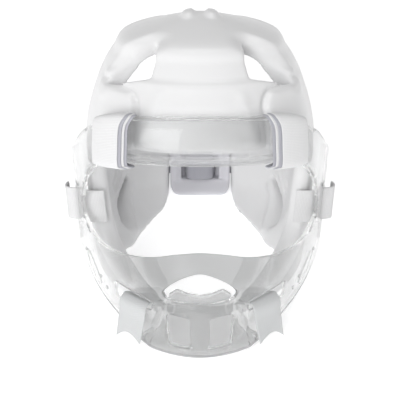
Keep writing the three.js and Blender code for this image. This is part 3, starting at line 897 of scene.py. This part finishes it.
def face_shield():
    """The clear shield: its flat sheet filled with even triangles, put on its form and given its wall."""
    angle = np.linspace(-SHEET_END, SHEET_END, 361)
    turn = np.abs(angle)
    foot = shield_foot(angle) - plate_depth(angle)
    top = shield_top(turn) + BAR_FLANGE * flange_share(turn)
    rim = np.vstack([np.stack([angle * FLAT, foot], -1), np.stack([angle * FLAT, top], -1)[::-1]])
    rings = [spaced(rim, RIM_GAP)] + opening_rings()
    triangle_height = SHEET_GAP * 0.866
    rows = np.arange(rim[:, 1].min(), rim[:, 1].max(), triangle_height)
    columns = np.arange(-SHEET_END * FLAT, SHEET_END * FLAT, SHEET_GAP)
    u, v = np.meshgrid(columns, rows)
    u = u + np.where(np.arange(len(rows)) % 2, SHEET_GAP / 2, 0)[:, None]
    fill = np.stack([u.ravel(), v.ravel()], -1)
    fill = fill[outline_depth(fill, rings[0]) > EDGE_MARGIN]
    for ring in rings[1:]:
        fill = fill[outline_depth(fill, ring) < -EDGE_MARGIN]
    corners, edges = [], []
    for ring in rings:
        first = sum(len(part) for part in corners)
        order = first + np.arange(len(ring))
        edges += list(zip(order.tolist(), np.roll(order, -1).tolist()))
        corners.append(ring)
    flat = np.vstack(corners + [fill])
    found = delaunay_2d_cdt([Vector(point) for point in flat], edges, [], 0, 1e-5)
    flat = np.array([point[:] for point in found[0]])
    faces = np.array(found[2])
    middles = flat[faces].mean(1)
    solid = inside_outline(middles, rings[0])
    for ring in rings[1:]:
        solid &= ~inside_outline(middles, ring)
    faces = faces[solid]
    used, faces = np.unique(faces, return_inverse=True)
    points = shield_sheet(flat[used])
    piece = keep("face_shield_clear", points, faces.reshape(-1, 3), CLEAR, "face_shield")
    thicken(piece, SHIELD_WALL, offset=-1, edge=SHEET_EDGE)


# Small moulded marks on the shield: pips beside the slots, dashes along the low corners of the eye opening.
PIPS = table("angle z", (62.2, -51.8), (50.5, -68.2), (46.8, -76), (38.1, -91))
DASHES = table("angle z", (61.5, -21.5), (58.2, -28), (56.6, -30.8))
PIP_SIZE = (1.8, 1.8, 1.1)
DASH_SIZE = (2.4, 0.9, 0.9)
DASH_SLOPE = 1.9
MARK_AHEAD = 0.2
BALL_TURNS = 8
BALL_TILTS = (-70, -35, 0, 35, 70)


def ball():
    """A unit ball in rings about its first axis: its points, its quads and its end triangles."""
    turn = np.arange(BALL_TURNS) * 2 * np.pi / BALL_TURNS
    tilt = np.radians(BALL_TILTS)[:, None]
    ring = np.broadcast_arrays(np.sin(tilt), np.cos(tilt) * np.cos(turn), np.cos(tilt) * np.sin(turn))
    points = np.vstack([np.stack(ring, -1).reshape(-1, 3), [(-1, 0, 0), (1, 0, 0)]])
    count = BALL_TURNS * len(BALL_TILTS)
    order = np.arange(count).reshape(-1, BALL_TURNS)
    after = np.roll(order, -1, axis=1)
    quads = np.stack([order[:-1], after[:-1], after[1:], order[1:]], -1).reshape(-1, 4)
    first = np.stack([np.full(BALL_TURNS, count), after[0], order[0]], -1)
    last = np.stack([np.full(BALL_TURNS, count + 1), order[-1], after[-1]], -1)
    return points, quads, np.vstack([first, last])


def unit(vectors):
    """Vectors over their own lengths."""
    return vectors / np.linalg.norm(vectors, axis=-1, keepdims=True)


def shield_marks(name, spots, size, slope):
    """Small balls on the shield's face: each is stretched along the face's slope, across it and outwards."""
    angle = np.r_[spots["angle"], -spots["angle"]]
    z = np.r_[spots["z"], spots["z"]]
    centre = shield_point(angle, z, MARK_AHEAD)
    out = unit(shield_point(angle, z, 1.0) - shield_point(angle, z, -1.0))
    run = shield_point(angle + np.sign(angle), z + slope) - shield_point(angle, z)
    side = unit(np.cross(out, run))
    axes = np.stack([np.cross(side, out), side, out], 1)
    points, quads, ends = ball()
    placed = centre[:, None] + (points * size) @ axes
    shift = len(points) * np.arange(len(angle))[:, None, None]
    faces = (quads + shift).reshape(-1, 4).tolist() + (ends + shift).reshape(-1, 3).tolist()
    keep(name, placed.reshape(-1, 3), faces, CLEAR)


# The straps: sheets on a grid, with a map along and across them in mm for their weave.
WEBBING = 2
THIN_WEBBING = 1.6
LEVELS_ACROSS = 13


def smooth_path(points, count):
    """A smooth curve through points, spaced evenly: cubic in the chord's length, then in its own."""
    points = np.asarray(points, float)
    for parts in (count * 6, count):
        length = np.r_[0, np.cumsum(np.linalg.norm(np.diff(points, axis=0), axis=1))]
        at = np.linspace(0, length[-1], parts)
        points = np.stack([cubic(length, column, at) for column in points.T], -1)
    return points


def strap(name, rows, finish, node, thickness=WEBBING, closed=False):
    """A strap from a grid of points, rows across it and columns along it."""
    count, length = rows.shape[:2]
    order = np.arange(count * length).reshape(count, length)
    turned = np.roll(order, -1, axis=1) if closed else order[:, 1:]
    left = order if closed else order[:, :-1]
    faces = np.stack([left[:-1], turned[:-1], turned[1:], left[1:]], -1).reshape(-1, 4)
    run = np.linalg.norm(np.diff(rows, axis=1), axis=2).mean(0)
    reach = np.linalg.norm(np.diff(rows, axis=0), axis=2).mean(1)
    u, v = np.meshgrid(np.r_[0, np.cumsum(run)], np.r_[0, np.cumsum(reach)])
    flat_map = np.stack([u.ravel(), v.ravel()], -1)
    piece = keep(name, rows.reshape(-1, 3), faces, finish, node, flat_map)
    thicken(piece, thickness, offset=0, edge=min(0.6, thickness * 0.35))


def on_side(rows, side):
    """A strap on its side: mirrored for the left, with its rows turned so that its faces still point out."""
    return rows if side > 0 else rows[::-1] * np.array([-1, 1, 1])


FOREHEAD_LAYERS = table(
    "grow start end white",
    (0.7, 25.2, 42.0, 0),
    (1.9, 26.3, 42.2, 1),
    (3.1, 27.3, 42.4, 0),
    (4.3, 28.6, 42.6, 1),
)
FOREHEAD_STRAP = dict(
    front_corner=7, back_corner=2.6, half_height=23, clearance=1.2, forward=0.8, over=0.8, layer_over=0.4,
    lean=2.6, lean_from=-0.2, hook=1.8, hook_from=0.75, cut=3.2, cut_from=0.6, behind=30,
    behind_fade=(0.1, 0.6), wall=1.0, points_round=120, points_across=21,
)


def loop_profile(turn, deep, tall):
    """A loop round the bar in depth and height: a rounded rectangle in front and a rounder one behind."""
    corner = np.where(np.cos(turn) > 0, FOREHEAD_STRAP["front_corner"], FOREHEAD_STRAP["back_corner"])
    return deep * signed_power(np.cos(turn), 2 / corner), tall * signed_power(np.sin(turn), 2 / corner)


def even_turns(deep, tall, count):
    """Turns at which a loop's points lie evenly along it, from its back: its length is read at fine turns."""
    turn = np.linspace(np.pi, 3 * np.pi, 4000)
    ahead, up = loop_profile(turn, deep, tall)
    length = np.r_[0, np.cumsum(np.hypot(np.diff(ahead), np.diff(up)))]
    return np.interp(np.linspace(0, length[-1], count + 1)[:-1], length, turn)


def forehead_straps():
    """Straps round the bar: nested loops.

    Their inner edges lean to the middle at the top, hook to it at the foot and run straight behind the bar.
    Their outer edges are cut off at the foot.
    """
    size = FOREHEAD_STRAP
    outermost = len(FOREHEAD_LAYERS["grow"]) - 1
    across = np.linspace(0, 1, size["points_across"])[:, None]
    for side, word in SIDES:
        for layer in range(outermost + 1):
            grow, start, end, white = (FOREHEAD_LAYERS[name][layer] for name in FOREHEAD_LAYERS)
            deep = BAR_FLANGE / 2 + size["clearance"] + grow
            turn = even_turns(deep, size["half_height"], size["points_round"])
            rise = np.sin(turn)
            first = start - size["lean"] * smoothstep(rise, size["lean_from"], 1)
            first = first - size["hook"] * smoothstep(-rise, size["hook_from"], 1)
            first = first + (size["behind"] - first) * smoothstep(-np.cos(turn), *size["behind_fade"])
            last = end - size["cut"] * smoothstep(-rise, size["cut_from"], 1)
            angle = first + (last - first) * across
            top, foot = shield_top(angle), shield_brow(angle)
            tall = (top - foot) / 2 + size["layer_over"] * grow + size["over"]
            ahead, up = loop_profile(turn, deep, tall)
            rows = shield_point(angle, (top + foot) / 2 + up, ahead - BAR_FLANGE / 2 + size["forward"])
            # The grey layers are hook tape, darkened as painted shade between the layers.
            finish = WEBBING_WHITE if white else GREY_WEBBING_AND_PAINTED_SHADE
            node = f"forehead_strap_{word}" if layer == outermost else None
            name = f"forehead_strap_{word}_layer_{layer + 1}"
            strap(name, on_side(rows, side), finish, node, size["wall"], closed=True)


def edgewise(points_at, z, width, count):
    """Grid of a strap on edge: at each level a smooth path in plan."""
    rows = []
    for level in np.linspace(z - width / 2, z + width / 2, LEVELS_ACROSS):
        plan = smooth_path(points_at(level), count)
        rows.append(np.column_stack([plan, np.full(count, level)]))
    return np.array(rows)


SIDE_STRAP = dict(shell_edge=66, slot=72, stand_off=7, z=-16.5, width=30, points=60)
SIDE_BENDS = table("past_slot ahead", (0, -5), (0, 2.5), (1.5, 6.8), (4.5, 7.6), (8, 5))


def side_straps():
    """Straps from the shell's front edge, out through the shield's side and back along it."""
    edge, stand_off = SIDE_STRAP["shell_edge"], SIDE_STRAP["stand_off"]

    def points_at(z):
        inner = shell_point(edge, z, INNER, INNER_CROWN)
        outer = shell_point(edge, z, OUTER, OUTER_CROWN)
        bends = zip(SIDE_STRAP["slot"] + SIDE_BENDS["past_slot"], SIDE_BENDS["ahead"])
        places = [
            inner * 0.62 + outer * 0.38 - (0, stand_off, 0),
            inner * 0.4 + outer * 0.6 - (0, stand_off, 0),
            outer + (4, -stand_off / 2, 0),
            *(shield_point(angle, z, ahead) for angle, ahead in bends),
        ]
        return [place[:2] for place in places]

    rows = edgewise(points_at, SIDE_STRAP["z"], SIDE_STRAP["width"], SIDE_STRAP["points"])
    for side, word in SIDES:
        strap(f"side_strap_{word}_webbing", on_side(rows, side), WEBBING_WHITE, f"side_strap_{word}")


CHIN_ROUTE = table(
    "ahead z",
    (-36, -89),
    (-20, -84),
    (-6, -78),
    (0, -76.5),
    (3.5, -79),
    (4.5, -92),
    (6, -104),
    (8, -114),
)
CHIN_STRAP = dict(
    middle=29.4, drift=4, half_angle=6.3, notch=7, tilt=2.4, level_at=-0.4, hang_from=0.55, curl=2.2,
    ripple=0.7, waves=(2.5, 9), points=70, points_across=17, points_of_route=300,
)


def chin_straps():
    """Woven straps from the jaw arms, out through the strap windows and down, with a hollow cut end.

    A strap follows its route less a notch, deepest in the middle of its width. Where it hangs, its edges curl
    outwards and it ripples.
    """
    corners = np.stack([CHIN_ROUTE["ahead"], CHIN_ROUTE["z"]], -1)
    route = smooth_path(corners, CHIN_STRAP["points_of_route"])
    length = np.r_[0, np.cumsum(np.linalg.norm(np.diff(route, axis=0), axis=1))]
    across = np.linspace(-1, 1, CHIN_STRAP["points_across"])[:, None]
    share = np.linspace(0, 1, CHIN_STRAP["points"])
    at = share * (length[-1] - CHIN_STRAP["notch"] * (1 - across ** 2))
    ahead = np.interp(at, length, route[:, 0])
    z = np.interp(at, length, route[:, 1])
    hang = smoothstep(share, CHIN_STRAP["hang_from"], 1)
    ahead = ahead + CHIN_STRAP["curl"] * hang * across ** 2
    waves_across, waves_along = CHIN_STRAP["waves"]
    ahead = ahead + CHIN_STRAP["ripple"] * hang * np.sin(across * waves_across + share * waves_along)
    angle = CHIN_STRAP["middle"] + CHIN_STRAP["drift"] * np.maximum(2 * share - 1, 0)
    z = z + CHIN_STRAP["tilt"] * (across - CHIN_STRAP["level_at"]) * (1 - hang)
    rows = shield_point(angle + CHIN_STRAP["half_angle"] * across, z, ahead)
    for side, word in SIDES:
        strap(f"chin_strap_{word}_twill", on_side(rows, side), TWILL, f"chin_strap_{word}", THIN_WEBBING)


REAR_STRAP = dict(end=128, stand_off=3, width=18, points=220)


def rear_strap():
    """The strap behind the head: over the wings, in through the pad's slots and across its inner face."""
    end, stand_off = REAR_STRAP["end"], REAR_STRAP["stand_off"]

    def points_at(z):
        def over(angle):
            x, y = shell_point(angle, z, OUTER, OUTER_CROWN)[:2]
            reach = np.hypot(x, y)
            return np.array([x, y]) * (reach + stand_off) / reach
        inner = shell_point(180.0, z, INNER, INNER_CROWN)[1]
        outer = shell_point(180.0, z, OUTER, OUTER_CROWN)[1]
        half = [
            *(over(angle) for angle in (end, end + 12, end + 24)),
            (NAPE_GAP["half_width"], outer + 1),
            (SLOT["x"] + 2.5, outer),
            (SLOT["x"], (inner + outer) / 2),
            (SLOT["x"] - 2.5, inner - 1),
            (SLOT["x"] - 7, inner - 3.5),
            (SLOT["x"] - 9.5, inner - 3.5),
        ]
        return half + [(-x, y) for x, y in half[::-1]]

    rows = edgewise(points_at, SLOT["z"], REAR_STRAP["width"], REAR_STRAP["points"])
    # The strap is white; its grey is painted shade in the pad's slots.
    strap("rear_strap_webbing", rows, GREY_WEBBING_AND_PAINTED_SHADE, "rear_strap", THIN_WEBBING)


# The floor, light and camera, in metres and watts.
FLOOR_REACH = 6.0
WORLD_LIGHT = 0.45
CAMERA = dict(aim=(0.0, -0.067, 0.110), elevation=38, distance=1.150, lens=123.2)


def pale_floor():
    """A pale sweep with a very faint grain."""
    finish = Finish("pale_floor")
    grain = finish.noise(30, 2.0)
    colour = finish.blend(grain, (0.93, 0.93, 0.93, 1), (0.91, 0.91, 0.915, 1))
    material = finish.surface({
        "Base Color": colour,
        "Roughness": 0.75,
        "Emission Color": (1, 1, 1, 1),
        "Emission Strength": 0.46,
    })
    mesh = bpy.data.meshes.new("floor")
    far = FLOOR_REACH
    corners = [(-far, -far, 0), (far, -far, 0), (far, far, 0), (-far, far, 0)]
    mesh.from_pydata(corners, [], [(0, 1, 2, 3)])
    mesh.materials.append(material)
    floor = bpy.data.objects.new("floor", mesh)
    bpy.context.collection.objects.link(floor)


def softbox(name, place, aim, size, power, glossy=False):
    """A square area light that looks from its place to its aim; only some show in gloss."""
    light = bpy.data.lights.new(name, "AREA")
    light.shape = "SQUARE"
    light.size = size
    light.energy = power
    lamp = bpy.data.objects.new(name, light)
    lamp.visible_glossy = glossy
    lamp.location = place
    lamp.rotation_euler = (Vector(aim) - Vector(place)).to_track_quat("-Z", "Y").to_euler()
    bpy.context.collection.objects.link(lamp)


def studio():
    """An even white surround and three softboxes."""
    scene = bpy.context.scene
    scene.view_settings.view_transform = "Standard"
    world = bpy.data.worlds.new("studio")
    world.use_nodes = True
    background = world.node_tree.nodes["Background"].inputs
    background["Color"].default_value = (1, 1, 1, 1)
    background["Strength"].default_value = WORLD_LIGHT
    scene.world = world
    softbox("front", (-0.6, -1.35, 0.85), aim=(0, -0.05, 0.12), size=0.9, power=17)
    softbox("right", (1.4, -0.5, 0.6), aim=(0, 0, 0.1), size=0.8, power=2)
    softbox("overhead", (0.0, 0.5, 1.5), aim=(0, 0, 0.1), size=0.7, power=4, glossy=True)


def camera():
    """The camera at the photograph's angle above the floor, in front of the middle of the part."""
    data = bpy.data.cameras.new("camera")
    data.sensor_width = 36
    data.lens = CAMERA["lens"]
    tilt = np.radians(CAMERA["elevation"])
    back = Vector((0, -np.cos(tilt), np.sin(tilt)))
    eye = bpy.data.objects.new("camera", data)
    eye.location = Vector(CAMERA["aim"]) + back * CAMERA["distance"]
    eye.rotation_euler = (-back).to_track_quat("-Z", "Y").to_euler()
    bpy.context.collection.objects.link(eye)
    bpy.context.scene.camera = eye


foam_shell()
rear_pad()
face_shield()
shield_marks("shield_pips", PIPS, PIP_SIZE, slope=0.0)
shield_marks("shield_dashes", DASHES, DASH_SIZE, DASH_SLOPE)
forehead_straps()
side_straps()
chin_straps()
rear_strap()
pale_floor()
studio()
camera()
